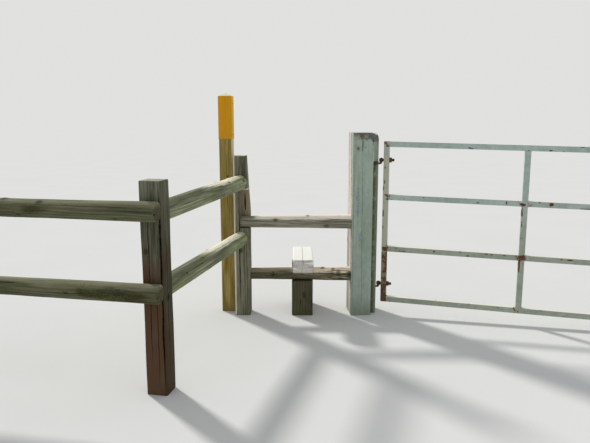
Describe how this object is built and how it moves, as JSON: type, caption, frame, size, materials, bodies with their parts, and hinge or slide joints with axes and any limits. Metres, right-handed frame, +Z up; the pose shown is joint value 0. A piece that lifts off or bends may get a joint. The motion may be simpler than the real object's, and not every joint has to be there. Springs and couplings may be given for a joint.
{
  "type": "step stile beside a field gate",
  "caption": "Timber step stile set between a waymarked post and a large painted gate post, with a tubular steel field gate hung on hook hinges and two bays of round-rail fence.",
  "frame": {"origin": "centre of the gate post's foot at ground level", "axes": "+X along the stile from the stile post towards the gate, +Y to the far side of the barrier, +Z up"},
  "size_m": [6.7502, 1.6833, 1.5563],
  "materials": {
    "painted_timber": "old grey-green paint on cracked softwood",
    "dark_timber": "dark weathered, split and lichened",
    "weathered_timber": "grey-brown with knots and bark scars",
    "bleached_timber": "sun-bleached top with drying checks",
    "waymark_timber": "stained sawn softwood",
    "yellow_plastic": "sun-faded yellow",
    "red_brown_timber": "grey top, red-brown below, deep shakes",
    "lichen_pole": "pale grey-green peeled pole with lichen",
    "painted_steel": "flaking pale blue-grey paint over rust",
    "rusty_steel": "dark brown rust"
  },
  "bodies": {
    "posts": {"gate_post": "painted_timber", "stile_post": "dark_timber", "upper_stile_rail": "dark_timber", "lower_stile_rail": "weathered_timber", "step_board": "bleached_timber", "front_step_leg": "dark_timber", "rear_step_leg": "dark_timber", "waymark_post": "waymark_timber", "waymark_cap": "yellow_plastic", "corner_post": "red_brown_timber", "return_top_rail": "lichen_pole", "return_lower_rail": "lichen_pole", "hedge_post": "red_brown_timber", "hedge_top_rail": "lichen_pole", "hedge_lower_rail": "lichen_pole", "latch_post": "painted_timber", "gate_stop": "rusty_steel", "top_hinge_hook": "rusty_steel", "bottom_hinge_hook": "rusty_steel"},
    "gate_leaf": {"gate_top_rail": "painted_steel", "gate_second_rail": "painted_steel", "gate_third_rail": "painted_steel", "gate_bottom_rail": "painted_steel", "gate_hanging_stile": "painted_steel", "gate_closing_stile": "painted_steel", "gate_brace_1": "painted_steel", "gate_brace_2": "painted_steel", "gate_brace_3": "painted_steel", "top_hinge_eye": "rusty_steel", "bottom_hinge_eye": "rusty_steel", "top_hinge_nut": "rusty_steel", "bottom_hinge_nut": "rusty_steel"}
  },
  "joints": [
    {"name": "gate_hinge", "type": "hinge", "parent": "posts", "child": "gate_leaf", "pos_m": [0.116, -0.035, 0], "axis": [0, 0, 1], "range_deg": [-90, 0]}
  ]
}
